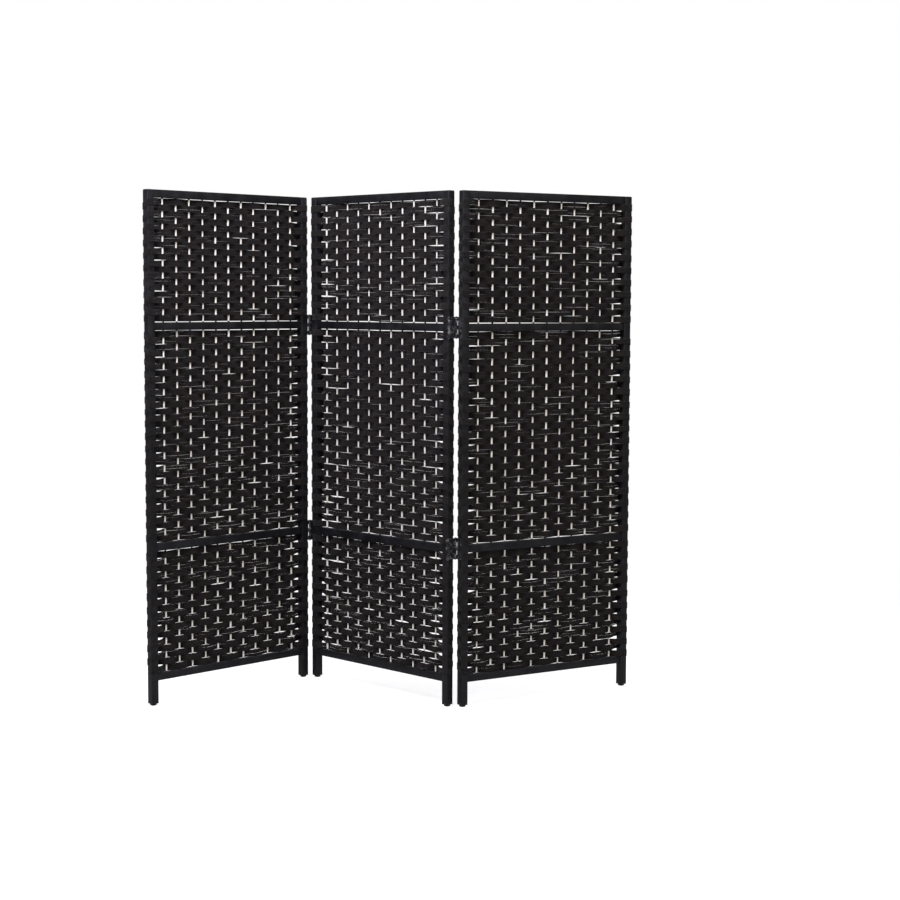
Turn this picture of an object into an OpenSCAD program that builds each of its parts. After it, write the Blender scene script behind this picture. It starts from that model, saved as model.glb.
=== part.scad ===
// Folding room divider: three woven panels joined by double-action hinges.
// Each panel's own frame: x along the panel from its left edge, y back from its mid-plane, z up.
// Each hinge's own frame: origin in the middle of the gap between two panels, at the hinge's mid-height.

/* [Screen] */
// Height of the screen from the floor to the top of the stiles
screen_h = 1700; // [1450:10:2000]
// Width of one panel over its two stiles
panel_w = 680; // [560:5:800]
// Turn of the left panel out of the centre panel's plane, front faces closing, in degrees
left_fold = 90; // [20:1:140]
// Turn of the right panel out of the centre panel's plane, back faces closing, in degrees
right_fold = 76; // [20:1:140]

/* [Frame] */
// Side of a stile's square section
stile_s = 26; // [22:1:32]
// Radius of the eased edges of stiles and rails
edge_r = 1.6; // [0.8:0.1:3]
// Thickness of the rails and crossbars, front to back
rail_t = 20; // [18:1:24]
// Height of the top rail
top_rail_h = 26; // [20:1:36]
// Height of a crossbar
crossbar_h = 26; // [20:1:36]
// Height of the bottom rail
bottom_rail_h = 23; // [20:1:36]
// Floor to the underside of the bottom rail
leg_h = 82; // [40:1:160]
// Floor to the middle of the upper crossbar
upper_bar_z = 1255.5; // [1100:0.5:1320]
// Floor to the middle of the lower crossbar
lower_bar_z = 528; // [400:0.5:700]

/* [Joinery] */
// Diameter of a dowel between rail and stile
dowel_d = 6; // [5:0.5:8]
// Length of a dowel
dowel_l = 32; // [20:1:40]
// Depth of a dowel in the stile
dowel_in_stile = 13; // [8:1:15]
// Distance between the two dowels of a rail end
dowel_spread = 12; // [9:0.5:13]

/* [Sticks] */
// Upright sticks in one panel, an odd number
stick_n = 11; // [7:2:15]
// Diameter of a stick
stick_d = 7; // [5:0.5:9]
// Stile's inner face to the axis of the nearest stick
stick_edge = 41.5; // [32:0.5:60]
// Depth of a stick's end in the top and bottom rails
stick_seat = 10; // [5:1:15]

/* [Weave] */
// Thickness of a woven band
band_t = 3.2; // [2:0.1:3.6]
// Woven bands in the upper field of the left, centre and right panel
upper_bands = [20, 19, 19]; // [10:1:26]
// Woven bands in the middle field of the left, centre and right panel
middle_bands = [33, 31, 32]; // [20:1:40]
// Woven bands in the lower field of the left, centre and right panel
lower_bands = [18, 19, 19]; // [10:1:26]
// Clear slit between a rail and the nearest band
slit = 3; // [1:0.5:6]
// Space between one band and the next
band_gap = 0.5; // [0.3:0.1:2]
// Space between a band and the wood that it passes
band_fit = 0.3; // [0.1:0.05:0.5]

/* [Hinges] */
// Gap between the stiles of neighbouring panels when they stand in line
joint_gap = 11; // [10:0.5:16]
// Distance from a stile's face to a hinge pin's axis
pin_stand = 4.5; // [4:0.5:10]
// Height of a hinge
hinge_h = 70; // [50:5:100]
// Thickness of a hinge leaf
leaf_t = 2; // [1.5:0.1:2.2]
// Width of the stile's outer face that a leaf's plate leaves free
plate_inset = 3; // [2:0.5:7]
// Diameter of a hinge pin
pin_d = 4.4; // [3.6:0.2:4.6]
// Radial running clearance of a pin in a turning knuckle
pin_fit = 0.05; // [0.02:0.01:0.1]
// Outer diameter of a knuckle
knuckle_d = 8.5; // [7.5:0.1:9]
// Knuckles on one pin, an odd number
knuckle_n = 5; // [3:2:7]
// Axial space between two knuckles
knuckle_gap = 0.3; // [0.2:0.1:1]
// Diameter of a pin's head
pin_head_d = 6.4; // [5.4:0.2:7.4]
// Thickness of a pin's head
pin_head_t = 1.4; // [0.8:0.2:3]

/* [Screws] */
// Screws in one hinge leaf
screw_n = 3; // [2:1:4]
// Shank diameter of a hinge screw
screw_d = 4; // [3:0.5:4.5]
// Head diameter of a countersunk hinge screw
screw_head_d = 7.6; // [6:0.2:8.4]
// Depth of a hinge screw in the stile
screw_l = 18; // [10:1:20]
// Distance from the end of a leaf to its nearest screw
screw_margin = 10; // [6:1:14]

/* [Feet] */
// Distance from a stile's face to the rim of its foot glide
glide_inset = 2; // [0.5:0.5:4]
// Height of a foot glide below the stile
glide_h = 6; // [5:0.5:10]
// Radius of the rounded rim of a glide
glide_rim = 4; // [1:0.5:5]
// Diameter of a glide's stem
glide_stem_d = 5; // [3:0.5:8]
// Length of a glide's stem in the stile
glide_stem_l = 16; // [8:1:30]

/* [Hidden] */
$fn = 48;
inner_w = panel_w - 2 * stile_s;
stick_pitch = (inner_w - 2 * stick_edge) / (stick_n - 1);
top_rail_z = screen_h - top_rail_h / 2;
bottom_rail_z = leg_h + bottom_rail_h / 2;
stick_z0 = leg_h + bottom_rail_h - stick_seat;
stick_z1 = screen_h - top_rail_h + stick_seat;

// A field is [underside, top]: the height between two rails or crossbars
upper_field = [upper_bar_z + crossbar_h / 2, screen_h - top_rail_h];
middle_field = [lower_bar_z + crossbar_h / 2, upper_bar_z - crossbar_h / 2];
lower_field = [leg_h + bottom_rail_h, lower_bar_z - crossbar_h / 2];
// 0 where the field's top band runs in front of the stiles, 1 where it runs behind them
upper_start = [0, 0, 0];
middle_start = [1, 0, 1];
lower_start = [1, 0, 0];

// How far a band stands off the stile's face, and off the mid-plane at a stick
wrap = band_fit + band_t;
stick_offset = stick_d / 2 + band_fit + band_t / 2;
stile_offset = stile_s / 2 + band_fit + band_t / 2;
// A band leaves the stile's face this far past its inner edge
turn_in = 1;
// Bands beside a hinge stop this far in from the stile's outer edge
hinge_clear = 6;
// Half of the height that a hinge keeps free of wrapped bands
hinge_zone = hinge_h / 2 + pin_head_t + 1;

pin_y = stile_s / 2 + pin_stand;
plate_w = stile_s - plate_inset;
screw_span = hinge_h - 2 * screw_margin;
glide_d = stile_s - 2 * glide_inset;
pin_r = pin_d / 2;
knuckle_r = knuckle_d / 2;
knuckle_pitch = hinge_h / knuckle_n;
plate_y = -stile_s / 2;
screw_y = plate_y + plate_w / 2;
// Space between the centre leaf's web and the knuckles that turn past it
swing_gap = 0.5;
// How far a screw head sits below the leaf's face
head_sink = 0.1;
hinge_heights = [lower_bar_z, upper_bar_z];

// Plan of the screen, seen from above, in the centre panel's frame
centre_turn = -left_fold / 2;
left_pin = [-joint_gap / 2, -pin_y];
left_back_pin = [-joint_gap / 2, pin_y];
right_pin = [panel_w + joint_gap / 2, pin_y];
right_front_pin = [panel_w + joint_gap / 2, -pin_y];
half_t = stile_s / 2 + wrap;
panel_corners = [for (x = [-wrap, panel_w + wrap], y = [-half_t, half_t]) [x, y]];

function turned(p, a) = [p.x * cos(a) - p.y * sin(a), p.x * sin(a) + p.y * cos(a)];
function turned_about(p, c, a) = c + turned(p - c, a);
function left_to_centre(p) = turned_about(p - [panel_w + joint_gap, 0], left_pin, left_fold);
function right_to_centre(p) = turned_about(p + [panel_w + joint_gap, 0], right_pin, right_fold);

// Outermost points of the plan, each with the radius of the round part there
plan_extents = concat(
    [for (p = panel_corners) [turned(p, centre_turn), 0]],
    [for (p = panel_corners) [turned(left_to_centre(p), centre_turn), 0]],
    [for (p = panel_corners) [turned(right_to_centre(p), centre_turn), 0]],
    [for (p = [left_back_pin, right_front_pin]) [turned(p, centre_turn), knuckle_r]]
);
plan_low = [for (i = [0, 1]) min([for (e = plan_extents) e[0][i] - e[1]])];
plan_high = [for (i = [0, 1]) max([for (e = plan_extents) e[0][i] + e[1]])];
plan_centre = (plan_low + plan_high) / 2;

frame_colour = "#26262b";
weave_colour = "#2a2523";
stick_colour = "#e6dfcf";
metal_colour = "#4a4a4c";
plastic_colour = "#161617";
dowel_colour = "#c9a877";

// ---- placing ----

module turn_about(c, a) {
    translate([c.x, c.y, 0]) rotate([0, 0, a]) translate([-c.x, -c.y, 0]) children();
}

// From the centre panel's frame to the part's frame
module centre_panel() {
    translate([-plan_centre.x, -plan_centre.y, 0]) rotate([0, 0, centre_turn]) children();
}

module left_panel() {
    centre_panel() turn_about(left_pin, left_fold)
        translate([-panel_w - joint_gap, 0, 0]) children();
}

module right_panel() {
    centre_panel() turn_about(right_pin, right_fold)
        translate([panel_w + joint_gap, 0, 0]) children();
}

// From a hinge's frame to a panel's frame, at the panel's left or right edge
module at_left_edge(z) {
    translate([-joint_gap / 2, 0, z]) children();
}

module at_right_edge(z) {
    translate([panel_w + joint_gap / 2, 0, z]) children();
}

// ---- wooden frame ----

// Outline of a bar's section, centred, with eased edges
function eased_section(a, b, r) = [
    for (q = [[1, 1, 0], [-1, 1, 90], [-1, -1, 180], [1, -1, 270]], t = [0 : 30 : 90])
        [q[0] * (a / 2 - r) + r * cos(q[2] + t), q[1] * (b / 2 - r) + r * sin(q[2] + t)]
];

module dowel_pair(z, l) {
    for (s = [-1, 1])
        translate([0, 0, z + s * dowel_spread / 2]) rotate([0, 90, 0]) cylinder(d = dowel_d, h = l);
}

// Dowel pairs of the panel's four rails and bars, at one stile; x is the pair's low end
module edge_dowels(x) {
    for (z = [bottom_rail_z, lower_bar_z, upper_bar_z, top_rail_z])
        translate([x, 0, 0]) dowel_pair(z, dowel_l);
}

left_dowel_x = stile_s - dowel_in_stile;
right_dowel_x = panel_w - stile_s + dowel_in_stile - dowel_l;

module panel_dowels() {
    color(dowel_colour) {
        edge_dowels(left_dowel_x);
        edge_dowels(right_dowel_x);
    }
}

// Upright post; its outer face carries hinges where the panel is joined to another
module stile(at_left, hinged) {
    x = at_left ? stile_s / 2 : panel_w - stile_s / 2;
    color(frame_colour) difference() {
        translate([x, 0, glide_h]) linear_extrude(screen_h - glide_h)
            polygon(eased_section(stile_s, stile_s, edge_r));
        edge_dowels(at_left ? left_dowel_x : right_dowel_x);
        translate([x, 0, glide_h - 1]) cylinder(d = glide_stem_d, h = glide_stem_l + 1);
        if (hinged)
            for (z = hinge_heights) {
                if (at_left) at_left_edge(z) rotate([0, 0, 180]) leaf_screws();
                else at_right_edge(z) leaf_screws();
            }
    }
}

// Rail or crossbar between the stiles, bored for the sticks and dowels
module rail(z, h) {
    color(frame_colour) difference() {
        translate([stile_s, 0, z]) rotate([90, 0, 90]) linear_extrude(inner_w)
            polygon(eased_section(rail_t, h, edge_r));
        stick_set();
        translate([left_dowel_x, 0, 0]) dowel_pair(z, dowel_l);
        translate([right_dowel_x, 0, 0]) dowel_pair(z, dowel_l);
    }
}

module foot_glides() {
    flat_r = glide_d / 2 - glide_rim;
    color(plastic_colour) for (x = [stile_s / 2, panel_w - stile_s / 2])
        translate([x, 0, 0]) rotate_extrude() polygon(concat(
            [[0, 0]],
            [for (t = [0 : 15 : 90]) [flat_r + glide_rim * sin(t), glide_rim * (1 - cos(t))]],
            [[glide_d / 2, glide_h], [glide_stem_d / 2, glide_h]],
            [[glide_stem_d / 2, glide_h + glide_stem_l], [0, glide_h + glide_stem_l]]
        ));
}

// ---- sticks and weave ----

function stick_x(i) = stile_s + stick_edge + i * stick_pitch;

module stick_set() {
    for (i = [0 : stick_n - 1])
        translate([stick_x(i), 0, stick_z0]) cylinder(d = stick_d, h = stick_z1 - stick_z0);
}

module sticks() {
    color(stick_colour) stick_set();
}

// One side of a band that runs in front of the stiles: dy is the side's offset from the
// band's middle, and wraps says whether the band folds round the outer face at each end
function band_side(dy, wraps) =
    let (face = -stile_offset + dy, out = band_fit + band_t / 2 - dy)
    concat(
        wraps[0] ? [[-out, -band_gap / 2], [-out, face]] : [[hinge_clear, face]],
        [[stile_s + turn_in, face]],
        [for (i = [0 : stick_n - 1]) [stick_x(i), (i % 2 == 0 ? 1 : -1) * stick_offset + dy]],
        [[panel_w - stile_s - turn_in, face]],
        wraps[1] ? [[panel_w + out, face], [panel_w + out, -band_gap / 2]]
                 : [[panel_w - hinge_clear, face]]
    );

function reversed(v) = [for (i = [len(v) - 1 : -1 : 0]) v[i]];

function beside_hinge(z0, z1) =
    len([for (h = hinge_heights) if (z1 > h - hinge_zone && z0 < h + hinge_zone) h]) > 0;

// The bands of one field; hinged says whether the panel's left and right edges carry hinges
module weave(field, bands, start, hinged) {
    pitch = (field[1] - field[0] - 2 * slit) / bands;
    color(weave_colour) for (j = [0 : bands - 1]) {
        z = field[1] - slit - (j + 1) * pitch + band_gap / 2;
        h = pitch - band_gap;
        blocked = beside_hinge(z, z + h);
        wraps = [for (side = [0, 1]) !(blocked && hinged[side])];
        front = (j + start) % 2 == 0 ? 1 : -1;
        outline = concat(band_side(-band_t / 2, wraps), reversed(band_side(band_t / 2, wraps)));
        translate([0, 0, z]) linear_extrude(h) polygon([for (p = outline) [p.x, front * p.y]]);
    }
}

// ---- hinges, each in its own frame: the front leaf's stile lies at -x ----

function knuckle_low(k) = -hinge_h / 2 + k * knuckle_pitch + knuckle_gap / 2;
knuckle_h = knuckle_pitch - knuckle_gap;

// Countersunk screws of a front leaf, heads towards the gap
module leaf_screws() {
    face_x = -joint_gap / 2 + leaf_t - head_sink;
    for (i = [0 : screw_n - 1])
        translate([face_x, screw_y, screw_span * (i / (screw_n - 1) - 0.5)]) rotate([0, -90, 0]) {
            cylinder(d1 = screw_head_d, d2 = screw_d, h = leaf_t - head_sink);
            cylinder(d = screw_d, h = leaf_t - head_sink + screw_l);
        }
}

module sunk_openings() {
    face_x = -joint_gap / 2 + leaf_t;
    for (i = [0 : screw_n - 1])
        translate([face_x, screw_y, screw_span * (i / (screw_n - 1) - 0.5)]) rotate([0, -90, 0])
            translate([0, 0, -1]) cylinder(d = screw_head_d, h = 1 + head_sink);
}

// Leaf on the stile at -x, rolled round the front pin at every other knuckle
module front_leaf() {
    roll_y = -pin_y - knuckle_r;
    color(metal_colour) difference() {
        union() {
            translate([-joint_gap / 2, plate_y, -hinge_h / 2]) cube([leaf_t, plate_w, hinge_h]);
            for (k = [0 : 2 : knuckle_n - 1]) translate([0, 0, knuckle_low(k)]) {
                translate([-joint_gap / 2, roll_y, 0]) cube([leaf_t, plate_y - roll_y + 1, knuckle_h]);
                translate([-joint_gap / 2, roll_y, 0]) cube([joint_gap / 2, leaf_t, knuckle_h]);
                translate([0, -pin_y, 0]) cylinder(r = knuckle_r, h = knuckle_h);
            }
        }
        translate([0, -pin_y, -hinge_h]) cylinder(r = pin_r + pin_fit, h = 2 * hinge_h);
        leaf_screws();
        sunk_openings();
    }
}

// Leaf on the stile at +x: the same leaf turned half round, on the back pin
module back_leaf() {
    rotate([0, 0, 180]) front_leaf();
}

// Leaf in the middle of the gap, holding both pins
module centre_leaf() {
    web_y = pin_y - knuckle_r - swing_gap;
    color(metal_colour) difference() {
        union() {
            translate([-leaf_t / 2, -web_y, -hinge_h / 2]) cube([leaf_t, 2 * web_y, hinge_h]);
            for (k = [1 : 2 : knuckle_n - 2]) translate([0, 0, knuckle_low(k)]) {
                translate([-leaf_t / 2, -pin_y, 0]) cube([leaf_t, 2 * pin_y, knuckle_h]);
                for (s = [-1, 1]) translate([0, s * pin_y, 0]) cylinder(r = knuckle_r, h = knuckle_h);
            }
        }
        for (s = [-1, 1]) translate([0, s * pin_y, -hinge_h]) cylinder(r = pin_r, h = 2 * hinge_h);
    }
}

// The two pins of a hinge, with a flat head at each end
module pin_pair() {
    head_z = hinge_h / 2 + knuckle_gap / 2;
    for (s = [-1, 1]) translate([0, s * pin_y, 0]) {
        cylinder(r = pin_r, h = 2 * head_z, center = true);
        for (e = [-1, 1]) translate([0, 0, e * (head_z + pin_head_t / 2)])
            cylinder(d = pin_head_d, h = pin_head_t, center = true);
    }
}

// ---- left panel ----

module left_outer_stile() left_panel() stile(true, false);
module left_hinge_stile() left_panel() stile(false, true);
module left_top_rail() left_panel() rail(top_rail_z, top_rail_h);
module left_upper_crossbar() left_panel() rail(upper_bar_z, crossbar_h);
module left_lower_crossbar() left_panel() rail(lower_bar_z, crossbar_h);
module left_bottom_rail() left_panel() rail(bottom_rail_z, bottom_rail_h);
module left_sticks() left_panel() sticks();
module left_upper_weave() left_panel()
    weave(upper_field, upper_bands[0], upper_start[0], [false, true]);
module left_middle_weave() left_panel()
    weave(middle_field, middle_bands[0], middle_start[0], [false, true]);
module left_lower_weave() left_panel()
    weave(lower_field, lower_bands[0], lower_start[0], [false, true]);
module left_foot_glides() left_panel() foot_glides();
module left_frame_dowels() left_panel() panel_dowels();

// ---- centre panel ----

module centre_left_stile() centre_panel() stile(true, true);
module centre_right_stile() centre_panel() stile(false, true);
module centre_top_rail() centre_panel() rail(top_rail_z, top_rail_h);
module centre_upper_crossbar() centre_panel() rail(upper_bar_z, crossbar_h);
module centre_lower_crossbar() centre_panel() rail(lower_bar_z, crossbar_h);
module centre_bottom_rail() centre_panel() rail(bottom_rail_z, bottom_rail_h);
module centre_sticks() centre_panel() sticks();
module centre_upper_weave() centre_panel()
    weave(upper_field, upper_bands[1], upper_start[1], [true, true]);
module centre_middle_weave() centre_panel()
    weave(middle_field, middle_bands[1], middle_start[1], [true, true]);
module centre_lower_weave() centre_panel()
    weave(lower_field, lower_bands[1], lower_start[1], [true, true]);
module centre_foot_glides() centre_panel() foot_glides();
module centre_frame_dowels() centre_panel() panel_dowels();

// ---- right panel ----

module right_hinge_stile() right_panel() stile(true, true);
module right_outer_stile() right_panel() stile(false, false);
module right_top_rail() right_panel() rail(top_rail_z, top_rail_h);
module right_upper_crossbar() right_panel() rail(upper_bar_z, crossbar_h);
module right_lower_crossbar() right_panel() rail(lower_bar_z, crossbar_h);
module right_bottom_rail() right_panel() rail(bottom_rail_z, bottom_rail_h);
module right_sticks() right_panel() sticks();
module right_upper_weave() right_panel()
    weave(upper_field, upper_bands[2], upper_start[2], [true, false]);
module right_middle_weave() right_panel()
    weave(middle_field, middle_bands[2], middle_start[2], [true, false]);
module right_lower_weave() right_panel()
    weave(lower_field, lower_bands[2], lower_start[2], [true, false]);
module right_foot_glides() right_panel() foot_glides();
module right_frame_dowels() right_panel() panel_dowels();

// ---- hinges in place ----

module left_upper_front_leaf() left_panel() at_right_edge(upper_bar_z) front_leaf();
module left_lower_front_leaf() left_panel() at_right_edge(lower_bar_z) front_leaf();
module left_upper_centre_leaf() centre_panel() at_left_edge(upper_bar_z) centre_leaf();
module left_lower_centre_leaf() centre_panel() at_left_edge(lower_bar_z) centre_leaf();
module left_upper_back_leaf() centre_panel() at_left_edge(upper_bar_z) back_leaf();
module left_lower_back_leaf() centre_panel() at_left_edge(lower_bar_z) back_leaf();
module right_upper_front_leaf() centre_panel() at_right_edge(upper_bar_z) front_leaf();
module right_lower_front_leaf() centre_panel() at_right_edge(lower_bar_z) front_leaf();
module right_upper_centre_leaf() centre_panel() at_right_edge(upper_bar_z) centre_leaf();
module right_lower_centre_leaf() centre_panel() at_right_edge(lower_bar_z) centre_leaf();
module right_upper_back_leaf() right_panel() at_left_edge(upper_bar_z) back_leaf();
module right_lower_back_leaf() right_panel() at_left_edge(lower_bar_z) back_leaf();

module left_hinge_pins() {
    color(metal_colour) centre_panel() for (z = hinge_heights) at_left_edge(z) pin_pair();
}

module right_hinge_pins() {
    color(metal_colour) centre_panel() for (z = hinge_heights) at_right_edge(z) pin_pair();
}

module left_hinge_screws() {
    color(metal_colour) left_panel() for (z = hinge_heights) at_right_edge(z) leaf_screws();
}

module centre_hinge_screws() {
    color(metal_colour) centre_panel() for (z = hinge_heights) {
        at_left_edge(z) rotate([0, 0, 180]) leaf_screws();
        at_right_edge(z) leaf_screws();
    }
}

module right_hinge_screws() {
    color(metal_colour) right_panel() for (z = hinge_heights)
        at_left_edge(z) rotate([0, 0, 180]) leaf_screws();
}

left_outer_stile();
left_hinge_stile();
left_top_rail();
left_upper_crossbar();
left_lower_crossbar();
left_bottom_rail();
left_sticks();
left_upper_weave();
left_middle_weave();
left_lower_weave();
left_foot_glides();
left_frame_dowels();
centre_left_stile();
centre_right_stile();
centre_top_rail();
centre_upper_crossbar();
centre_lower_crossbar();
centre_bottom_rail();
centre_sticks();
centre_upper_weave();
centre_middle_weave();
centre_lower_weave();
centre_foot_glides();
centre_frame_dowels();
right_hinge_stile();
right_outer_stile();
right_top_rail();
right_upper_crossbar();
right_lower_crossbar();
right_bottom_rail();
right_sticks();
right_upper_weave();
right_middle_weave();
right_lower_weave();
right_foot_glides();
right_frame_dowels();
left_upper_front_leaf();
left_upper_centre_leaf();
left_upper_back_leaf();
left_lower_front_leaf();
left_lower_centre_leaf();
left_lower_back_leaf();
right_upper_front_leaf();
right_upper_centre_leaf();
right_upper_back_leaf();
right_lower_front_leaf();
right_lower_centre_leaf();
right_lower_back_leaf();
left_hinge_pins();
right_hinge_pins();
left_hinge_screws();
centre_hinge_screws();
right_hinge_screws();
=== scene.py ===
import math
import random

import bpy
import numpy as np
from mathutils import Matrix, Vector


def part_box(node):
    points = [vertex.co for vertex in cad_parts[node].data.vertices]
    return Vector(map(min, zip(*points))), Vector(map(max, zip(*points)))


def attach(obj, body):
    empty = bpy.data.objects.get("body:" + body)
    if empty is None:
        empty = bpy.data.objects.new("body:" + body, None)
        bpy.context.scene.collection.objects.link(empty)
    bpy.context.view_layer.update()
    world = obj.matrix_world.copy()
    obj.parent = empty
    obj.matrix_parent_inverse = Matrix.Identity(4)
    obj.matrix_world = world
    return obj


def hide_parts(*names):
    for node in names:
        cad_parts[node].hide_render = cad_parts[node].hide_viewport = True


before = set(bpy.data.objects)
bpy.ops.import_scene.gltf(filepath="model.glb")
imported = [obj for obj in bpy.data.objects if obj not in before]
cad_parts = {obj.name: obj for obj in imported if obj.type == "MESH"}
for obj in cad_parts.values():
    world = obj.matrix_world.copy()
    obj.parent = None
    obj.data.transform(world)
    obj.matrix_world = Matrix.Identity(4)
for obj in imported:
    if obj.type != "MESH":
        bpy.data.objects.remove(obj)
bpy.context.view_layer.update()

print("frame loaded:", len(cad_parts), "nodes")

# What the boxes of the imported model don't give of the screen's plan. Lengths are in metres.
screen = {
    "stileSide": 0.026,
    "railDepth": 0.020,
    "firstStick": 0.0675,    # from a panel's left edge to the axis of its first stick
    "stickGap": 0.0545,      # between the axes of two sticks
    "stickCount": 11,
    "stickDiameter": 0.007,
    "hingeReach": 0.0374,    # half of the height that a hinge keeps free of wrapped cord
}
stileHalf = screen["stileSide"] / 2

# hinged says which of a panel's two stiles carries hinges. Fields are counted from the top:
# bands is how many each has, behindFirst is 1 where its top band runs behind the stiles, and
# closed says how far its top band, then its bottom band, leans over the slit beside its rail,
# at the left end and at the right.
panels = {
    "left": {
        "stiles": ("left_outer_stile", "left_hinge_stile"), "hinged": (False, True),
        "bands": (20, 33, 18), "behindFirst": (0, 1, 1), "seed": 11, "looseness": 0.9,
        "closed": (((0.0004, 0.0014), (0.0002, 0.0006)),
                   ((0.0013, 0.0003), (0.0016, 0.0009)),
                   ((0.0000, 0.0009), (0.0015, 0.0011))),
    },
    "centre": {
        "stiles": ("centre_left_stile", "centre_right_stile"), "hinged": (True, True),
        "bands": (19, 31, 19), "behindFirst": (0, 0, 0), "seed": 23, "looseness": 1.5,
        "closed": (((0.0015, 0.0004), (0.0008, 0.0001)),
                   ((0.0010, 0.0002), (0.0012, 0.0002)),
                   ((0.0012, 0.0023), (0.0018, 0.0021))),
    },
    "right": {
        "stiles": ("right_hinge_stile", "right_outer_stile"), "hinged": (True, False),
        "bands": (19, 32, 19), "behindFirst": (0, 1, 0), "seed": 37, "looseness": 0.9,
        "closed": (((0.0009, 0.0022), (0.0003, 0.0020)),
                   ((0.0025, 0.0023), (0.0001, 0.0005)),
                   ((0.0025, 0.0015), (0.0017, 0.0019))),
    },
}
barNames = ("top_rail", "upper_crossbar", "lower_crossbar", "bottom_rail")
fieldNames = ("upper", "middle", "lower")


def middleOf(node):
    low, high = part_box(node)
    return (low + high) / 2


for side, panel in panels.items():
    first, last = (middleOf(name).xy for name in panel["stiles"])
    along = (last - first).normalized()
    corner = first - along * stileHalf
    # a panel's own frame: x along it from its left edge, y back from its mid-plane, z up
    panel["place"] = Matrix((
        (along.x, -along.y, 0, corner.x),
        (along.y, along.x, 0, corner.y),
        (0, 0, 1, 0),
        (0, 0, 0, 1)))
    panel["turn"] = math.atan2(along.y, along.x)
    panel["width"] = (last - first).length + screen["stileSide"]
    bars = [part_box(f"{side}_{name}") for name in barNames]
    panel["bars"] = {name: (low.z, high.z) for name, (low, high) in zip(barNames, bars)}
    panel["fields"] = [(below[1].z, above[0].z) for above, below in zip(bars, bars[1:])]
hingeHeights = [sum(panels["centre"]["bars"][name]) / 2 for name in barNames[1:3]]


def linear(hexColour):
    channels = [int(hexColour[i:i + 2], 16) / 255 for i in (1, 3, 5)]
    return [c / 12.92 if c <= 0.04045 else ((c + 0.055) / 1.055) ** 2.4 for c in channels] + [1.0]


def addNode(tree, kind, settings=None, links=None):
    # a setting whose key names an input goes on its socket, the others on the node itself
    node = tree.nodes.new(kind)
    for key, value in (settings or {}).items():
        if isinstance(key, str) and key not in node.inputs:
            setattr(node, key, value)
    for key, value in (settings or {}).items():
        if not isinstance(key, str) or key in node.inputs:
            node.inputs[key].default_value = value
    for key, output in (links or {}).items():
        tree.links.new(output, node.inputs[key])
    return node


def newMaterial(name, looks):
    material = bpy.data.materials.new(name)
    material.use_nodes = True
    shader = material.node_tree.nodes["Principled BSDF"]
    for key in ("IOR", "Metallic", "Specular IOR Level", "Sheen Weight"):
        if key in looks:
            shader.inputs[key].default_value = looks[key]
    return material, material.node_tree, shader


def mathNode(tree, operation, first, second=None):
    # second is a number or another node's output
    fixed = {} if second is None or hasattr(second, "node") else {1: second}
    linked = {1: second} if hasattr(second, "node") else {}
    node = addNode(tree, "ShaderNodeMath", {"operation": operation, **fixed},
                   {0: first, **linked})
    return node.outputs["Value"]


def addShare(tree, ground, factor, share):
    # ground with a share of factor added to it
    node = addNode(tree, "ShaderNodeMath", {"operation": "MULTIPLY_ADD", 1: share},
                   {0: factor, 2: ground})
    return node.outputs["Value"]


def noise(tree, vector, scale, detail, roughness=0.5):
    node = addNode(tree, "ShaderNodeTexNoise",
                   {"Scale": scale, "Detail": detail, "Roughness": roughness},
                   {"Vector": vector})
    return node.outputs["Fac"]


def tones(tree, factor, stops):
    # a colour for each level of factor
    node = addNode(tree, "ShaderNodeValToRGB", None, {"Fac": factor})
    elements = node.color_ramp.elements
    while len(elements) < len(stops):
        elements.new(0.5)
    for element, (position, hexColour) in zip(elements, stops):
        element.position = position
        element.color = linear(hexColour)
    return node.outputs["Color"]


def spread(tree, factor, ends, over=(0.0, 1.0)):
    # factor from one end of over to the other becomes the first to the second of ends
    node = addNode(tree, "ShaderNodeMapRange",
                   {"From Min": over[0], "From Max": over[1],
                    "To Min": ends[0], "To Max": ends[1]}, {"Value": factor})
    return node.outputs["Result"]


def relief(tree, height, depth, strength, below=None):
    # height raised on the surface, or on the relief below it
    links = {"Height": height} if below is None else {"Height": height, "Normal": below}
    node = addNode(tree, "ShaderNodeBump", {"Strength": strength, "Distance": depth}, links)
    return node.outputs["Normal"]


def objectPlace(tree):
    return addNode(tree, "ShaderNodeTexCoord").outputs["Object"]


def stretch(tree, vector, scale):
    return addNode(tree, "ShaderNodeMapping", {"Scale": scale},
                   {"Vector": vector}).outputs["Vector"]


def connect(tree, shader, **outputs):
    names = {"colour": "Base Color", "roughness": "Roughness", "normal": "Normal"}
    for key, output in outputs.items():
        tree.links.new(output, shader.inputs[names[key]])


def paint(piece, material):
    piece.data.materials.clear()
    piece.data.materials.append(material)


paintLooks = {
    "IOR": 1.5, "Specular IOR Level": 0.18,
    "tones": ((0.45, "#0b0b0c"), (0.72, "#121214"), (0.98, "#1c1c1e")),
    "roughness": (0.40, 0.58), "glossOver": (0.3, 0.7),
    "poreWidth": 0.0011, "poreLength": 0.045, "poreShare": 0.45,
    "poreDepth": 0.00010, "poreStrength": 0.7,
    "brushWidth": 0.042, "brushDepth": 0.00012, "brushStrength": 0.6,
}


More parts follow.
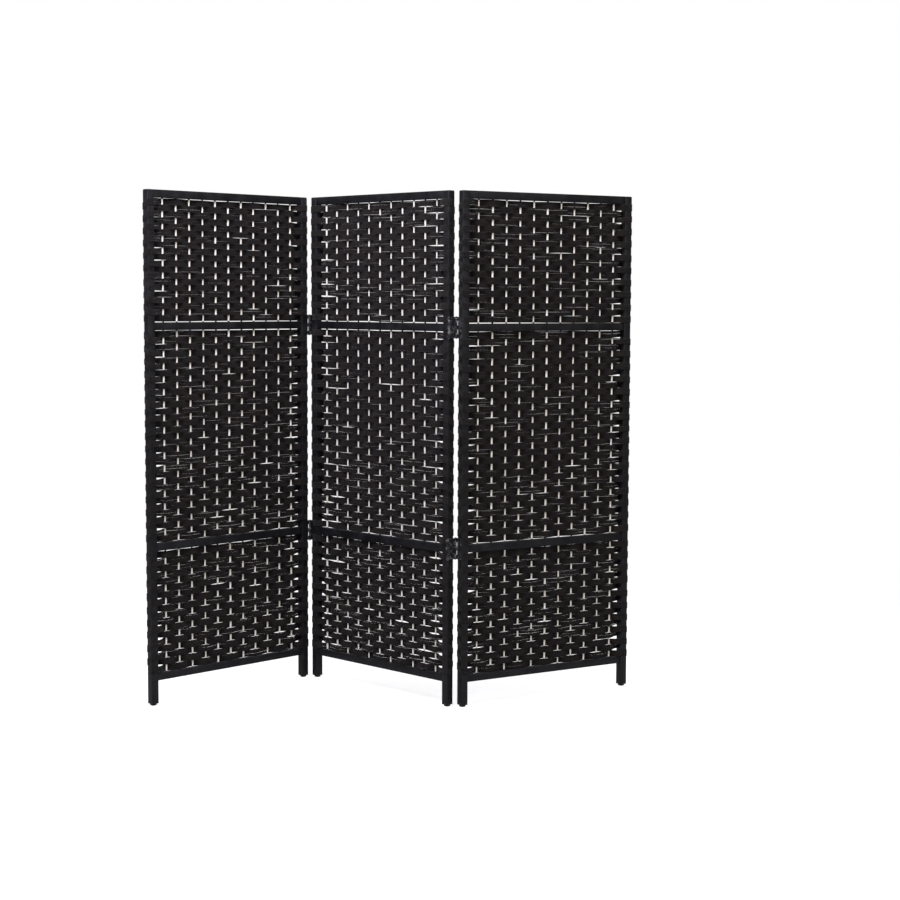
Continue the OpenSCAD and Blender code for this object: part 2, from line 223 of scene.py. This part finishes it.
def paintedWood(name, turn, upright):
    # Satin black lacquer brushed on planed pine: grain shows faintly through it, the film
    # pools unevenly, so the sheen changes slowly along the bar.
    looks = paintLooks
    material, tree, shader = newMaterial(name, looks)
    turned = addNode(tree, "ShaderNodeMapping", {"Rotation": (0, 0, -turn)},
                     {"Vector": objectPlace(tree)}).outputs["Vector"]
    across, lengthwise = 1 / looks["poreWidth"], 1 / looks["poreLength"]
    scale = (across, across, lengthwise) if upright else (lengthwise, across, across)
    pores = noise(tree, stretch(tree, turned, scale), 1.0, 3.0, 0.6)
    brush = noise(tree, turned, 1 / looks["brushWidth"], 2.0)
    film = relief(tree, brush, looks["brushDepth"], looks["brushStrength"])
    connect(tree, shader,
            colour=tones(tree, addShare(tree, brush, pores, looks["poreShare"]), looks["tones"]),
            roughness=spread(tree, brush, looks["roughness"], looks["glossOver"]),
            normal=relief(tree, pores, looks["poreDepth"], looks["poreStrength"], film))
    return material


cordLooks = {
    "IOR": 1.47, "Specular IOR Level": 0.16, "Sheen Weight": 0.04,
    "tones": ((0.42, "#0a0706"), (0.80, "#1c1714"), (1.0, "#3b332c")),
    "roughness": (0.62, 0.84),
    "twistLength": 0.011,    # one turn of the two twisted plies
    "ridgeShare": 0.18, "ridgeDepth": 0.0006, "ridgeStrength": 0.8,
    "creaseWidth": 0.002, "creaseShare": 0.35, "creaseDepth": 0.00025, "creaseStrength": 0.5,
    "blotchScale": 28.0, "blotchShare": 0.55,
}


def paperCord():
    # Kraft paper twisted to a two-ply cord and dyed near black: slanting plies with paler
    # rubbed ridges, papery creases along them, a dull surface.
    looks = cordLooks
    material, tree, shader = newMaterial("dyedPaperCord", looks)
    # u runs along the cord in metres and v once round it
    uv = addNode(tree, "ShaderNodeUVMap", {"uv_map": "cordTwist"})
    slant = addNode(tree, "ShaderNodeVectorMath",
                    {"operation": "DOT_PRODUCT", 1: (1 / looks["twistLength"], 1.0, 0.0)},
                    {0: uv.outputs["UV"]})
    turns = mathNode(tree, "MULTIPLY", slant.outputs["Value"], 4 * math.pi)
    ridge = mathNode(tree, "ABSOLUTE", mathNode(tree, "SINE", turns))
    place = objectPlace(tree)
    creases = noise(tree, place, 1 / looks["creaseWidth"], 3.0, 0.65)
    blotches = noise(tree, place, looks["blotchScale"], 2.0)
    dye = addNode(tree, "ShaderNodeAttribute", {"attribute_name": "dyeShade"}).outputs["Fac"]
    dye = addShare(tree, dye, creases, looks["creaseShare"])
    dye = addShare(tree, dye, blotches, looks["blotchShare"])
    dye = addShare(tree, dye, ridge, looks["ridgeShare"])
    plies = relief(tree, ridge, looks["ridgeDepth"], looks["ridgeStrength"])
    connect(tree, shader,
            colour=tones(tree, dye, looks["tones"]),
            roughness=spread(tree, creases, looks["roughness"]),
            normal=relief(tree, creases, looks["creaseDepth"], looks["creaseStrength"], plies))
    return material


stickLooks = {
    "IOR": 1.5, "Specular IOR Level": 0.35,
    "tones": ((0.42, "#aea695"), (0.68, "#d8d2c5"), (0.95, "#eeeae2")),
    "roughness": (0.47, 0.67),
    "fibreWidth": 0.0006, "fibreLength": 0.04, "fibreShare": 0.5,
    "fibreDepth": 0.00012, "fibreStrength": 0.5,
    "patchWidth": 0.06,
    # painted shade: the sticks turn near black beside each rail, standing in for the shade in the
    # slit between rail and band
    "paintedShade": "#17171a",
    "paintedShadeReach": 0.0032,  # how far the painted shade reaches from a rail, at the least
    "paintedShadeRagged": 0.0036, # how much further the painted shade reaches in places
    "paintedShadeEdge": 0.0003,   # half the width over which the painted shade fades out
}


def peeledStick():
    # Peeled willow, dried and unfinished: cream wood with long fine fibres, tan where the
    # bark's inner layer stayed on, and a painted shade, near black, on it beside each rail, where
    # the slit between rail and band is in shade.
    looks = stickLooks
    material, tree, shader = newMaterial("peeledWillow", looks)
    place = objectPlace(tree)
    across, lengthwise = 1 / looks["fibreWidth"], 1 / looks["fibreLength"]
    fibres = noise(tree, stretch(tree, place, (across, across, lengthwise)), 1.0, 3.0)
    patches = noise(tree, place, 1 / looks["patchWidth"], 4.0, 0.6)
    wood = tones(tree, addShare(tree, patches, fibres, looks["fibreShare"]), looks["tones"])
    height = addNode(tree, "ShaderNodeSeparateXYZ", None, {"Vector": place}).outputs["Z"]
    nearest = None
    for bottom, top in panels["centre"]["bars"].values():
        # distance above or below this rail, negative inside it
        offset = mathNode(tree, "SUBTRACT", height, (bottom + top) / 2)
        clear = mathNode(tree, "SUBTRACT", mathNode(tree, "ABSOLUTE", offset), (top - bottom) / 2)
        nearest = clear if nearest is None else mathNode(tree, "MINIMUM", nearest, clear)
    # painted shade: near black within a ragged reach of each rail, the stick's own wood beyond it
    ragged = addShare(tree, nearest, patches, looks["paintedShadeRagged"])
    reach = looks["paintedShadeReach"] + looks["paintedShadeRagged"] / 2
    unshaded = spread(tree, ragged, (0.0, 1.0),
                  (reach - looks["paintedShadeEdge"], reach + looks["paintedShadeEdge"]))
    woodOrShade = addNode(tree, "ShaderNodeMix",
                       {"data_type": "RGBA", 6: linear(looks["paintedShade"])}, {0: unshaded, 7: wood})
    connect(tree, shader,
            colour=woodOrShade.outputs[2],
            roughness=spread(tree, fibres, looks["roughness"]),
            normal=relief(tree, fibres, looks["fibreDepth"], looks["fibreStrength"]))
    return material


# Pressed steel leaves, blackened and worn: mottled grey, silvery where the rolled barrels
# have rubbed
leafLooks = {
    "Metallic": 0.8,
    "tones": ((0.35, "#1b1b1d"), (0.52, "#3c3d3f"), (0.68, "#a3a3a2")),
    "roughness": (0.58, 0.34), "polishOver": (0.35, 0.7),
    "patch": 0.012, "grit": 0.0006, "gritDepth": 0.00006, "gritStrength": 0.4,
}
# Drawn steel pins and screws, zinc plated and dulled: a lighter, smoother grey
pinLooks = {
    "Metallic": 1.0,
    "tones": ((0.35, "#3c3d3e"), (0.52, "#6c6d6e"), (0.68, "#b4b4b2")),
    "roughness": (0.42, 0.24), "polishOver": (0.35, 0.7),
    "patch": 0.008, "grit": 0.0004, "gritDepth": 0.00004, "gritStrength": 0.4,
}


def wornMetal(name, looks):
    # Grains of the metal's finish, broken by rubbed spots that shine
    material, tree, shader = newMaterial(name, looks)
    place = objectPlace(tree)
    grit = noise(tree, place, 1 / looks["grit"], 2.0)
    rubbed = noise(tree, place, 1 / looks["patch"], 4.0, 0.7)
    connect(tree, shader,
            colour=tones(tree, rubbed, looks["tones"]),
            roughness=spread(tree, rubbed, looks["roughness"], looks["polishOver"]),
            normal=relief(tree, grit, looks["gritDepth"], looks["gritStrength"]))
    return material


glideLooks = {
    "IOR": 1.46, "Specular IOR Level": 0.4,
    "tones": ((0.45, "#0e0e0f"), (0.75, "#232324")), "roughness": (0.40, 0.65),
    "scuffScale": 90.0, "sparkGrain": 0.0007, "grainDepth": 0.00008, "grainStrength": 0.5,
}


def mouldedPlastic():
    # Moulded black polypropylene with a fine spark-eroded texture, scuffed paler in places
    looks = glideLooks
    material, tree, shader = newMaterial("mouldedPolypropylene", looks)
    place = objectPlace(tree)
    grain = noise(tree, place, 1 / looks["sparkGrain"], 2.0)
    scuffs = noise(tree, place, looks["scuffScale"], 5.0, 0.7)
    connect(tree, shader,
            colour=tones(tree, scuffs, looks["tones"]),
            roughness=spread(tree, scuffs, looks["roughness"]),
            normal=relief(tree, grain, looks["grainDepth"], looks["grainStrength"]))
    return material


dowelLooks = {
    "IOR": 1.5, "tones": ((0.35, "#a98a63"), (0.65, "#cfae80")), "roughness": 0.6,
    "fleck": 0.0015, "fleckDepth": 0.0001, "fleckStrength": 0.3,
}


def turnedBeech():
    # Turned beech: even tan wood with short darker flecks
    looks = dowelLooks
    material, tree, shader = newMaterial("turnedBeech", looks)
    flecks = noise(tree, objectPlace(tree), 1 / looks["fleck"], 2.0)
    shader.inputs["Roughness"].default_value = looks["roughness"]
    connect(tree, shader,
            colour=tones(tree, flecks, looks["tones"]),
            normal=relief(tree, flecks, looks["fleckDepth"], looks["fleckStrength"]))
    return material


uprightPaint = paintedWood("satinPaintUpright", 0.0, True)
for side, panel in panels.items():
    panel["railPaint"] = paintedWood(f"satinPaint_{side}", panel["turn"], False)
cordMaterial = paperCord()
stickMaterial = peeledStick()
leafMetal = wornMetal("blackenedSteel", leafLooks)
pinMetal = wornMetal("dulledZincPlate", pinLooks)
plasticMaterial = mouldedPlastic()
beechMaterial = turnedBeech()
print("materials made")


barShape = {
    "edge": 0.0016, "edgeSteps": 3, "edgeAngle": 60,
    "topEase": 0.0035, "topSteps": 3, "topReach": 1e-5, "smoothAngle": 35,
}


def settle(piece, place):
    # a finished piece sits at the origin with its place in its mesh
    piece.matrix_world = place @ piece.matrix_world
    bpy.ops.object.select_all(action="DESELECT")
    piece.select_set(True)
    bpy.context.view_layer.objects.active = piece
    bpy.ops.object.transform_apply(location=True, rotation=True, scale=True)


def pickEdges(piece, wanted):
    # leaves edit mode with the wanted edges selected; wanted is given an edge's two ends
    bpy.ops.object.mode_set(mode="EDIT")
    bpy.ops.mesh.select_mode(type="EDGE")
    bpy.ops.mesh.select_all(action="DESELECT")
    bpy.ops.object.mode_set(mode="OBJECT")
    points = piece.data.vertices
    for edge in piece.data.edges:
        edge.select = wanted(points[edge.vertices[0]].co, points[edge.vertices[1]].co)


def woodenBar(name, low, high, easedTop=False):
    bpy.ops.object.select_all(action="DESELECT")
    size = [b - a for a, b in zip(low, high)]
    bpy.ops.mesh.primitive_cube_add(size=1, location=[(a + b) / 2 for a, b in zip(low, high)],
                                    scale=size)
    piece = bpy.context.object
    piece.name = name
    bpy.ops.object.transform_apply(location=True, rotation=True, scale=True)
    if easedTop:
        top = high[2] - barShape["topReach"]
        pickEdges(piece, lambda a, b: a.z > top and b.z > top)
        bpy.ops.object.mode_set(mode="EDIT")
        bpy.ops.mesh.bevel(offset=barShape["topEase"], segments=barShape["topSteps"],
                           affect="EDGES")
        bpy.ops.object.mode_set(mode="OBJECT")
    bevel = piece.modifiers.new("easedEdges", "BEVEL")
    bevel.width = barShape["edge"]
    bevel.segments = barShape["edgeSteps"]
    bevel.limit_method = "ANGLE"
    bevel.angle_limit = math.radians(barShape["edgeAngle"])
    bpy.ops.object.modifier_apply(modifier=bevel.name)
    bpy.ops.object.shade_smooth_by_angle(angle=math.radians(barShape["smoothAngle"]))
    return piece


for side, panel in panels.items():
    body = f"{side}_panel"
    for index, node in enumerate(panel["stiles"]):
        low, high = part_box(node)
        x = stileHalf if index == 0 else panel["width"] - stileHalf
        stile = woodenBar(f"{node}_painted", (x - stileHalf, -stileHalf, low.z),
                          (x + stileHalf, stileHalf, high.z), True)
        settle(stile, panel["place"])
        paint(stile, uprightPaint)
        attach(stile, body)
        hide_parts(node)
    for name, (bottom, top) in panel["bars"].items():
        depth = screen["railDepth"] / 2
        bar = woodenBar(f"{side}_{name}_painted", (2 * stileHalf, -depth, bottom),
                        (panel["width"] - 2 * stileHalf, depth, top))
        settle(bar, panel["place"])
        paint(bar, panel["railPaint"])
        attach(bar, body)
        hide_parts(f"{side}_{name}")
print("wooden frames made")


stickShape = {
    "sides": 12, "cuts": 60, "smoothAngle": 40, "girth": (0.70, 0.98), "shift": 0.0007,
    # what bends the stick or swells it: its direction, how far, and how long one bend is
    "bends": {
        "bendAlong": ("X", 0.0009, 0.22),
        "bendAcross": ("Y", 0.0009, 0.31),
        "lumps": ("NORMAL", 0.0005, 0.05),
    },
}


def bentStick():
    # one peeled stick on the z axis of a panel's frame, at its own height
    low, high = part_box("centre_sticks")
    length = high.z - low.z
    bpy.ops.object.select_all(action="DESELECT")
    bpy.ops.mesh.primitive_cylinder_add(
        vertices=stickShape["sides"], radius=screen["stickDiameter"] / 2, depth=length,
        location=(0, 0, (low.z + high.z) / 2))
    stick = bpy.context.object
    bpy.ops.object.transform_apply(location=True)
    pickEdges(stick, lambda a, b: abs(a.z - b.z) > length / 2)
    bpy.ops.object.mode_set(mode="EDIT")
    bpy.ops.mesh.subdivide(number_cuts=stickShape["cuts"])
    bpy.ops.object.mode_set(mode="OBJECT")
    for name, (axis, strength, size) in stickShape["bends"].items():
        cloud = bpy.data.textures.new(name, "CLOUDS")
        cloud.noise_scale = size
        wobble = stick.modifiers.new(name, "DISPLACE")
        wobble.texture = cloud
        wobble.direction = axis
        wobble.strength = strength
        wobble.mid_level = 0.5
        bpy.ops.object.modifier_apply(modifier=name)
    bpy.ops.object.shade_smooth_by_angle(angle=math.radians(stickShape["smoothAngle"]))
    return stick


pattern = bentStick()
for side, panel in panels.items():
    rng = random.Random(panel["seed"])
    copies = []
    for i in range(screen["stickCount"]):
        stick = pattern.copy()
        stick.data = pattern.data.copy()
        bpy.context.collection.objects.link(stick)
        x = screen["firstStick"] + i * screen["stickGap"]
        x += rng.uniform(-stickShape["shift"], stickShape["shift"])
        girth = rng.uniform(*stickShape["girth"])
        stick.matrix_world = (panel["place"] @ Matrix.Translation((x, 0, 0))
                              @ Matrix.Rotation(rng.uniform(0, 2 * math.pi), 4, "Z")
                              @ Matrix.Diagonal((girth, girth, 1, 1)))
        copies.append(stick)
    bpy.ops.object.select_all(action="DESELECT")
    for stick in copies:
        stick.select_set(True)
    bpy.context.view_layer.objects.active = copies[0]
    bpy.ops.object.join()
    sticks = bpy.context.object
    sticks.name = f"{side}_sticks_peeled"
    settle(sticks, Matrix.Identity(4))
    paint(sticks, stickMaterial)
    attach(sticks, f"{side}_panel")
    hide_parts(f"{side}_sticks")
bpy.data.objects.remove(pattern)
print("sticks made")


# The weft is one cord bundle that runs on from band to band round the stiles, so it is
# built as tubes along its path instead of from a primitive.
weft = {
    "cords": 5, "sides": 8, "stepsPerGap": 4,
    "halfDepth": 0.0017,     # of a cord, front to back
    "pressedDepth": 0.0008,  # the same where it is pulled flat round a stile
    "atStick": 0.0053,       # a cord's middle to the panel's mid-plane, where it passes a stick
    "atStile": 0.0138,       # the same, where it passes a stile
    "offStile": 0.0008,      # a cord's middle to the stile's outer face
    "cornerRadius": 0.0021,
    "cornerAngles": (0, 0.52, 1.05, 1.57),
    "facePlaces": (-0.4, 0.0, 0.4),        # points between two corners, as shares of a half
    "turnIn": 0.001,
    "hingeClear": 0.006,     # bands beside a hinge stop this far in from the stile's edge
    "spliceFree": 6,         # bands at either end of a field that the splice keeps clear of
    "slit": 0.003,           # between a rail and the nearest band
    "leastSlit": 0.0003,     # what stays open of it where the band leans over
    "slitWander": 0.0007,
    "overlap": 1.05,         # how tightly the cords of a band press together
    "packed": (0.0004, 0.0003, 0.0005),    # how far a field's bands push into each other
    "opening": (0.0009, 0.0025),           # half height of one between two turns at a stile
    "openingShares": (0, 0.3, 0.8, 1, 1, 1),
    "openingReach": (0.75, 1.35),          # how far it runs in, in stick gaps
    "slotCounts": (0, 0, 1, 1),            # loose places along the line between two bands
    "slot": (0.0005, 0.0014),              # half height of one
    "slotReach": (0.6, 1.4),               # to either side, in stick gaps
    "easing": 2.2,
    "wander": 0.0005,        # a band's edge, up and down
    "cordWander": 0.00018,
    "wanderParts": 3, "wanderShare": (0.3, 1.0), "wanderPace": (5, 26), "wanderStart": (0, 6.3),
    "dyeShade": 0.09,        # how much lighter or darker one cord may be
}


def wave(rng, amount):
    # a slow wander along a panel, as a sum of sines
    parts = [(rng.uniform(*weft["wanderShare"]) * amount, rng.uniform(*weft["wanderPace"]),
              rng.uniform(*weft["wanderStart"])) for _ in range(weft["wanderParts"])]
    return lambda x: sum(a * math.sin(f * x + p) for a, f, p in parts)


def easeIn(x, near, far):
    # 1 at near, falling ever faster to 0 at far
    t = min(max((x - near) / (far - near), 0.0), 1.0)
    return 1 - t ** weft["easing"]


def bandPitch(panel, index):
    bottom, top = panel["fields"][index]
    return (top - bottom - 2 * weft["slit"]) / panel["bands"][index]


def partedBy(width, openings, slots):
    # how far two bands part at x
    def parting(x):
        total = 0.0
        for end, amount, reach in openings:
            inner = 2 * stileHalf
            total += amount * easeIn(x if end == 0 else width - x, inner, inner + reach)
        for middle, reach, amount in slots:
            total += amount * easeIn(abs(x - middle), 0.0, reach)
        return total

    return parting


def bandEdges(rng, panel, index, links):
    # the lines between bands, each as (height, wander, parting)
    bands, gap = panel["bands"][index], screen["stickGap"]
    top = panel["fields"][index][1] - weft["slit"]
    edges = []
    for j in range(bands + 1):
        wander = wave(rng, weft["wander"])
        openings, slots = [], []
        if 0 < j < bands:
            for end in (0, 1):
                if links[j - 1] != end:
                    half = rng.uniform(*weft["opening"]) * rng.choice(weft["openingShares"])
                    reach = rng.uniform(*weft["openingReach"]) * gap * panel["looseness"]
                    openings.append((end, half, reach))
            for _ in range(rng.choice(weft["slotCounts"])):
                middle = screen["firstStick"] + rng.randrange(screen["stickCount"]) * gap
                reach = rng.uniform(*weft["slotReach"]) * gap
                slots.append((middle, reach, rng.uniform(*weft["slot"]) * panel["looseness"]))
        edges.append((top - j * bandPitch(panel, index), wander,
                      partedBy(panel["width"], openings, slots)))
    return edges


def bandHeights(rng, panel, index, links):
    # a function of band and x that gives the band's top and the height of one of its cords
    edges = bandEdges(rng, panel, index, links)
    closing = [(ends, wave(rng, weft["slitWander"])) for ends in panel["closed"][index]]
    lowest, packed = panel["bands"][index] - 1, weft["packed"][index]

    def towardsRail(which, x):
        # how far the top (0) or bottom (1) band leans over the slit beside its rail
        (left, right), wander = closing[which]
        lean = left + (right - left) * min(max(x / panel["width"], 0.0), 1.0) + wander(x)
        return min(max(lean, 0.0), weft["slit"] - weft["leastSlit"])

    def heights(j, x):
        level0, wander0, parting0 = edges[j]
        level1, wander1, parting1 = edges[j + 1]
        high = level0 + (wander0(x) - parting0(x) + packed if j else towardsRail(0, x))
        low = level1 + (wander1(x) + parting1(x) - packed if j < lowest else -towardsRail(1, x))
        return high, (high - low) / weft["cords"]

    return heights


def acrossStations(width):
    # (x, y) from stile to stile for a band in front of the stiles
    inner = 2 * stileHalf + weft["turnIn"]
    supports = [(inner, -weft["atStile"])]
    for i in range(screen["stickCount"]):
        x = screen["firstStick"] + i * screen["stickGap"]
        supports.append((x, weft["atStick"] * (1 if i % 2 == 0 else -1)))
    supports.append((width - inner, -weft["atStile"]))
    stations = []
    for (x0, y0), (x1, y1) in zip(supports, supports[1:]):
        for step in range(weft["stepsPerGap"]):
            t = step / weft["stepsPerGap"]
            stations.append((x0 + (x1 - x0) * t, y0 + (y1 - y0) * (1 - math.cos(math.pi * t)) / 2))
    return stations + [supports[-1]]


def turnStations(width):
    # round the right stile's outer face, from front to back, as (x, y, share of the way)
    r, angles = weft["cornerRadius"], weft["cornerAngles"]
    y0 = weft["atStile"] - r
    x0 = width + weft["offStile"] - r
    turn = [(width - stileHalf, -weft["atStile"])]
    turn += [(x0 + r * math.sin(a), -y0 - r * math.cos(a)) for a in angles]
    turn += [(x0 + r, y0 * t) for t in weft["facePlaces"]]
    turn += [(x0 + r * math.sin(a), y0 + r * math.cos(a)) for a in reversed(angles)]
    turn += [(width - stileHalf, weft["atStile"])]
    lengths = [0.0]
    for (xa, ya), (xb, yb) in zip(turn, turn[1:]):
        lengths.append(lengths[-1] + math.hypot(xb - xa, yb - ya))
    return [(x, y, length / lengths[-1]) for (x, y), length in zip(turn, lengths)]


def bandLinks(rng, bands):
    # which end of a band turns on into the next: 0 left, 1 right, None where it is spliced
    splice = rng.randrange(weft["spliceFree"], bands - weft["spliceFree"] + 1)
    links, end = [], 0
    for j in range(bands - 1):
        links.append(None if j == splice else end)
        end = end if j == splice else 1 - end
    return links + [None]


def weftRuns(panel, index, links):
    # the way of the weft through a field, as one list of points for each run between two cut
    # ends; a point is (x, y, its band, how far it is round the turn into the next band)
    width, pitch = panel["width"], bandPitch(panel, index)
    across, turn = acrossStations(width), turnStations(width)

    def frontSign(j):
        return 1 if (j + panel["behindFirst"][index]) % 2 == 0 else -1

    def stopsShort(j, end):
        high = panel["fields"][index][1] - weft["slit"] - j * pitch
        beside = any(high > z - screen["hingeReach"] and high - pitch < z + screen["hingeReach"]
                     for z in hingeHeights)
        return panel["hinged"][end] and beside

    def turnPath(j, end):
        return [(x if end == 1 else width - x, y * frontSign(j), j, share) for x, y, share in turn]

    def cutEnd(j, end):
        # a run ends short of a hinge, or on the middle of the stile's outer face
        if stopsShort(j, end):
            x = weft["hingeClear"] if end == 0 else width - weft["hingeClear"]
            return [(x, -weft["atStile"] * frontSign(j), j, 0.0)]
        return [(x, y, j, 0.0) for x, y, _, _ in turnPath(j, end)[:len(turn) // 2 + 1]]

    runs, current = [], []
    towardsRight = links[0] == 1
    for j, link in enumerate(links):
        startEnd, stopEnd = (0, 1) if towardsRight else (1, 0)
        if not current:
            current = cutEnd(j, startEnd)[::-1]
        path = [(x, y * frontSign(j), j, 0.0) for x, y in across]
        current += path if towardsRight else path[::-1]
        if link == stopEnd and not stopsShort(j, stopEnd) and not stopsShort(j + 1, stopEnd):
            current += turnPath(j, stopEnd)
        else:
            runs.append(current + cutEnd(j, stopEnd))
            current = []
        if link is not None:
            towardsRight = not towardsRight
    return runs


def tubeRings(centre, radius, depth):
    # rings of points round a cord's middle line, radius high and depth thick
    ahead = np.gradient(centre, axis=0)
    ahead /= np.linalg.norm(ahead, axis=1)[:, None]
    sideways = np.cross(ahead, (0, 0, 1))
    sideways /= np.linalg.norm(sideways, axis=1)[:, None]
    upwards = np.cross(sideways, ahead)
    angles = [2 * math.pi * s / weft["sides"] for s in range(weft["sides"])]
    return (centre[:, None, :]
            + sideways[:, None, :] * depth[:, None, None] * np.cos(angles)[None, :, None]
            + upwards[:, None, :] * radius[:, None, None] * np.sin(angles)[None, :, None])


def tubeFaces(start, centre):
    # the faces of the tube whose points begin at start, and their corners on cordTwist
    sides, count = weft["sides"], len(centre)
    steps = np.linalg.norm(np.diff(centre, axis=0), axis=1)
    length = np.concatenate(([0], np.cumsum(steps)))
    faces, uvs = [], []
    for a in range(count - 1):
        base = start + a * sides
        for s in range(sides):
            t = (s + 1) % sides
            faces.append((base + s, base + sides + s, base + sides + t, base + t))
            uvs += ((length[a], s / sides), (length[a + 1], s / sides),
                    (length[a + 1], (s + 1) / sides), (length[a], (s + 1) / sides))
    last = start + (count - 1) * sides
    faces.append(tuple(start + s for s in range(sides)))
    faces.append(tuple(last + s for s in reversed(range(sides))))
    for end in (length[0], length[-1]):
        uvs += [(end, s / sides) for s in range(sides)]
    return faces, uvs


def buildWeft(side, index):
    panel = panels[side]
    width, bands = panel["width"], panel["bands"][index]
    rng = random.Random(panel["seed"] * 10 + index)
    links = bandLinks(rng, bands)
    heights = bandHeights(rng, panel, index, links)
    runs = weftRuns(panel, index, links)

    def cordPoint(k, wander, x, j):
        high, spacing = heights(j, x)
        # x + j takes each band to another stretch of the wave
        return high - (k + 0.5) * spacing + wander(x + j), spacing

    points, faces, uvs, shades, start = [], [], [], [], 0
    for run in runs:
        for k in range(weft["cords"]):
            wander = wave(rng, weft["cordWander"])
            shade = rng.uniform(-weft["dyeShade"], weft["dyeShade"])
            centre, radius, depth = [], [], []
            for x, y, j, share in run:
                z, spacing = cordPoint(k, wander, x, j)
                if share and j + 1 < bands:
                    ease = share * share * (3 - 2 * share)
                    z += (cordPoint(k, wander, x, j + 1)[0] - z) * ease
                centre.append((x, y, z))
                radius.append(spacing / 2 * weft["overlap"])
                pressed = easeIn(min(x, width - x), 2 * stileHalf, screen["firstStick"])
                depth.append(weft["halfDepth"]
                             + (weft["pressedDepth"] - weft["halfDepth"]) * pressed)
            centre = np.array(centre)
            rings = tubeRings(centre, np.array(radius), np.array(depth)).reshape(-1, 3)
            tube, corners = tubeFaces(start, centre)
            points.append(rings)
            faces += tube
            uvs += corners
            shades += [shade] * len(rings)
            start += len(rings)
    name = f"{side}_{fieldNames[index]}_weft"
    mesh = bpy.data.meshes.new(name)
    mesh.from_pydata(np.concatenate(points), [], faces)
    layer = mesh.uv_layers.new(name="cordTwist")
    layer.data.foreach_set("uv", np.array(uvs, float).ravel())
    attribute = mesh.attributes.new("dyeShade", "FLOAT", "POINT")
    attribute.data.foreach_set("value", np.array(shades, float))
    mesh.polygons.foreach_set("use_smooth", [True] * len(mesh.polygons))
    piece = bpy.data.objects.new(name, mesh)
    bpy.context.collection.objects.link(piece)
    settle(piece, panel["place"])
    paint(piece, cordMaterial)
    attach(piece, f"{side}_panel")
    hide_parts(f"{side}_{fieldNames[index]}_weave")
    print(name, len(runs), "runs", len(faces), "faces")


for side in panels:
    for index in range(len(fieldNames)):
        buildWeft(side, index)
print("weave made")


for node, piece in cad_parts.items():
    if node.endswith("_leaf"):
        paint(piece, leafMetal)
    elif node.endswith(("_pins", "_screws")):
        paint(piece, pinMetal)
    elif node.endswith("_glides"):
        paint(piece, plasticMaterial)
    elif node.endswith("_dowels"):
        paint(piece, beechMaterial)
print("fittings finished")


studio = {
    "floorRadius": 9.0, "floorFade": (1.3, 3.0), "floorColour": "#b8b8b6", "floorRoughness": 0.9,
    "floorGlow": 0.6,        # seen by the camera only, so that the floor reads as white
    "background": 1.0, "ambient": 0.30,
    # place, aim, size, power and colour of each soft light
    "lights": {
        "keyLight": ((-1.0, -1.8, 3.2), (-0.1, 0, 1.4), 1.2, 125, "#ecebff"),
        "fillLight": ((2.6, -3.8, 2.9), (-0.2, 0, 1.2), 2.4, 62, "#fff9f2"),
        "topLight": ((0, 0.2, 5.2), (0, 0, 0), 6.0, 400, "#f8f8ff"),
    },
    "lens": 72.43, "sensor": 36, "cameraPlace": (0.158, -6.159, 1.356),
    "pitch": 4.84, "yaw": -0.30, "roll": 0.22,
}

bpy.ops.object.select_all(action="DESELECT")
bpy.ops.mesh.primitive_circle_add(vertices=64, radius=studio["floorRadius"], fill_type="NGON",
                                  location=(0, 0, 0))
floor = bpy.context.object
floor.name = "floor"
floorMaterial, tree, shader = newMaterial("studioFloor", {"Specular IOR Level": 0.0})
shader.inputs["Base Color"].default_value = linear(studio["floorColour"])
shader.inputs["Roughness"].default_value = studio["floorRoughness"]
distance = addNode(tree, "ShaderNodeVectorMath", {"operation": "LENGTH"}, {0: objectPlace(tree)})
fade = addNode(tree, "ShaderNodeMapRange",
               {"interpolation_type": "SMOOTHSTEP",
                "From Min": studio["floorFade"][0], "From Max": studio["floorFade"][1]},
               {"Value": distance.outputs["Value"]})
rays = addNode(tree, "ShaderNodeLightPath")
shine = mathNode(tree, "MULTIPLY", rays.outputs["Is Camera Ray"], studio["floorGlow"])
shader.inputs["Emission Color"].default_value = (1, 1, 1, 1)
tree.links.new(shine, shader.inputs["Emission Strength"])
clear = addNode(tree, "ShaderNodeBsdfTransparent")
blend = addNode(tree, "ShaderNodeMixShader", None,
                {"Fac": fade.outputs["Result"], 1: shader.outputs["BSDF"],
                 2: clear.outputs["BSDF"]})
tree.links.new(blend.outputs["Shader"], tree.nodes["Material Output"].inputs["Surface"])
paint(floor, floorMaterial)

world = bpy.data.worlds.new("studio")
bpy.context.scene.world = world
world.use_nodes = True
tree = world.node_tree
tree.nodes.clear()
rays = addNode(tree, "ShaderNodeLightPath")
strength = spread(tree, rays.outputs["Is Camera Ray"], (studio["ambient"], studio["background"]))
glow = addNode(tree, "ShaderNodeBackground", {"Color": (1, 1, 1, 1)}, {"Strength": strength})
addNode(tree, "ShaderNodeOutputWorld", None, {"Surface": glow.outputs["Background"]})

for name, (spot, aim, size, power, colour) in studio["lights"].items():
    bpy.ops.object.light_add(type="AREA", location=spot)
    light = bpy.context.object
    light.name = name
    light.data.size = size
    light.data.energy = power
    light.data.color = linear(colour)[:3]
    light.rotation_euler = (Vector(aim) - Vector(spot)).to_track_quat("-Z", "Y").to_euler()

bpy.ops.object.camera_add(location=studio["cameraPlace"])
camera = bpy.context.object
camera.data.lens = studio["lens"]
camera.data.sensor_width = studio["sensor"]
turned = (Matrix.Rotation(math.radians(studio["yaw"]), 4, "Z")
          @ Matrix.Rotation(math.radians(90 - studio["pitch"]), 4, "X")
          @ Matrix.Rotation(math.radians(studio["roll"]), 4, "Z"))
camera.matrix_world = Matrix.Translation(studio["cameraPlace"]) @ turned
bpy.context.scene.camera = camera
bpy.context.scene.view_settings.view_transform = "Standard"
print("studio set up")
